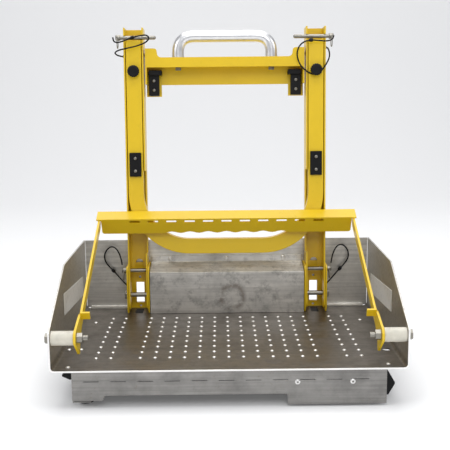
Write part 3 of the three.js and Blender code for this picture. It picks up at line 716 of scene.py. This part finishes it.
class PLATFORM_OT_spacers(bpy.types.Operator):
    """Off-white nylon spacers between the side walls and the tread arms"""

    bl_idname = "platform.spacers"
    bl_label = "Nylon spacers"

    def execute(self, context):
        low, high, r, bore = SPACER.values()
        profile = [(bore, low), (r - 0.8, low), (r, low + 0.8), (r, low + 10), (r - 0.35, low + 10.6),
                   (r - 0.35, low + 11.2), (r, low + 11.8), (r, high - 0.8), (r - 0.8, high),
                   (bore, high), (bore, low)]
        for name, sign in SIDES:
            node = "pivot_spacer_" + name
            shape = turned(profile, row((0, TREAD_Y, TREAD_Z)), OUT * sign, 48)
            piece(node + "_turned", shape, finish("nylon"), "platform", [node])
        return {"FINISHED"}


class PLATFORM_OT_knobs(bpy.types.Operator):
    """Round black knobs with a fluted rim on the mast's front"""

    bl_idname = "platform.knobs"
    bl_label = "Knobs"

    def execute(self, context):
        for name, sign in SIDES:
            node = "frame_knob_" + name
            centre = on_mast((MAST_X * sign, MAST_FACE - GAP, KNOB_UP))
            shape = turned(KNOB, centre, MAST_FRONT, 96, 16, 0.06)
            piece(node + "_fluted", shape, finish("plastic"), "platform", [node])
        return {"FINISHED"}


class PLATFORM_OT_blacks(bpy.types.Operator):
    """Rubber feet, bumpers and rest pads, and the plastic corner blocks"""

    bl_idname = "platform.blacks"
    bl_label = "Rubber and plastic"

    def execute(self, context):
        kinds = [("bumper", "rubber", 1.0), ("foot_front", "rubber", 0.8), ("foot_rear", "rubber", 0.8),
                 ("rest_pad", "rubber", 1.3), ("corner_block", "plastic", 1.2)]
        for kind, what, edge in kinds:
            for name, _ in SIDES:
                node = f"{kind}_{name}"
                piece(node + "_moulded", solid_of(node), finish(what), "platform", [node], edge, 3)
        return {"FINISHED"}


class PLATFORM_OT_plates(bpy.types.Operator):
    """Blank pale plates on the inner faces of the side walls"""

    bl_idname = "platform.plates"
    bl_label = "Blank plates"

    def execute(self, context):
        outline = np.array(PLATE_OUTLINE, float)
        faces = [[0, 1, 2, 3], [4, 7, 6, 5], [0, 4, 5, 1], [1, 5, 6, 2], [2, 6, 7, 3], [3, 7, 4, 0]]
        for name, sign in SIDES:
            rings = [np.column_stack([np.full(4, x * sign), outline]) for x in PLATE_FACES]
            shape = (row(np.vstack(rings)), np.array(faces))
            piece("side_plate_" + name, shape, finish("plate"), "platform", edge=0.25)
        return {"FINISHED"}


class PLATFORM_OT_stage(bpy.types.Operator):
    """Seamless pale floor and soft studio light"""

    bl_idname = "platform.stage"
    bl_label = "Stage"

    def execute(self, context):
        turn = np.linspace(0, np.pi / 2, 24)
        bend, back, front, half, height, below = 1.2, 2.2, -4.0, 6.0, 6.0, 0.0004
        y = np.r_[front, back + bend * np.sin(turn), back + bend]
        z = np.r_[0.0, bend - bend * np.cos(turn), height] - below
        points = np.array([(x, b, h) for x in (-half, half) for b, h in zip(y, z)])
        n = len(y)
        faces = [(i, i + n, i + n + 1, i + 1) for i in range(n - 1)]
        mesh = bpy.data.meshes.new("studio paper")
        mesh.from_pydata(points.tolist(), [], faces)
        mesh.polygons.foreach_set("use_smooth", np.ones(n - 1, bool))
        mesh.materials.append(finish("floor"))
        paper = bpy.data.objects.new("studio_paper", mesh)
        context.scene.collection.objects.link(paper)
        lamps = [
            ("top box", (0.0, -0.2, 2.4), (0, 0, 0), 1.8, 30),
            ("left box", (-2.2, -1.2, 1.7), (60, 0, -60), 1.2, 12),
            ("right box", (2.2, -0.8, 1.8), (58, 0, 66), 1.2, 10),
            ("front box", (0.3, -3.0, 2.4), (54, 0, 6), 1.4, 30),
            ("wall wash", (0.0, 1.6, 3.4), (-38, 0, 0), 3.0, 36),
        ]
        for name, place, turns, wide, power in lamps:
            light = bpy.data.lights.new(name, "AREA")
            light.size = wide
            light.energy = power
            lamp = bpy.data.objects.new(name, light)
            lamp.location = place
            lamp.rotation_euler = [math.radians(a) for a in turns]
            context.scene.collection.objects.link(lamp)
        world = bpy.data.worlds.new("studio")
        world.use_nodes = True
        sky = world.node_tree.nodes["Background"]
        sky.inputs["Color"].default_value = (0.93, 0.95, 1.0, 1)
        sky.inputs["Strength"].default_value = 0.42
        context.scene.world = world
        context.scene.view_settings.view_transform = "Standard"
        return {"FINISHED"}


STEPS = (
    PLATFORM_OT_camera, PLATFORM_OT_lanyards, PLATFORM_OT_sheet, PLATFORM_OT_coated, PLATFORM_OT_domes,
    PLATFORM_OT_rivets, PLATFORM_OT_handle, PLATFORM_OT_pins, PLATFORM_OT_fasteners, PLATFORM_OT_spacers,
    PLATFORM_OT_knobs, PLATFORM_OT_blacks, PLATFORM_OT_plates, PLATFORM_OT_stage,
)


class PLATFORM_PT_sidebar(bpy.types.Panel):
    """Lists the platform's sizes, colours and steps"""

    bl_idname = "PLATFORM_PT_sidebar"
    bl_label = "Platform"
    bl_space_type = "VIEW_3D"
    bl_region_type = "UI"
    bl_category = "Platform"

    def draw(self, context):
        for group in (context.scene.platform_sizes, context.scene.platform_colours):
            for key in group.__annotations__:
                self.layout.prop(group, key)
        for step in STEPS:
            self.layout.operator(step.bl_idname)


CLASSES = (PlatformColours, PlatformSizes, *STEPS, PLATFORM_PT_sidebar)


def register():
    for kind in CLASSES:
        bpy.utils.register_class(kind)
    bpy.types.Scene.platform_colours = bpy.props.PointerProperty(type=PlatformColours)
    bpy.types.Scene.platform_sizes = bpy.props.PointerProperty(type=PlatformSizes)


def unregister():
    del bpy.types.Scene.platform_sizes
    del bpy.types.Scene.platform_colours
    for kind in reversed(CLASSES):
        bpy.utils.unregister_class(kind)


def main():
    """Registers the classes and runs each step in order."""
    register()
    for step in STEPS:
        group, name = step.bl_idname.split(".")
        getattr(getattr(bpy.ops, group), name)()


if __name__ == "__main__":
    main()
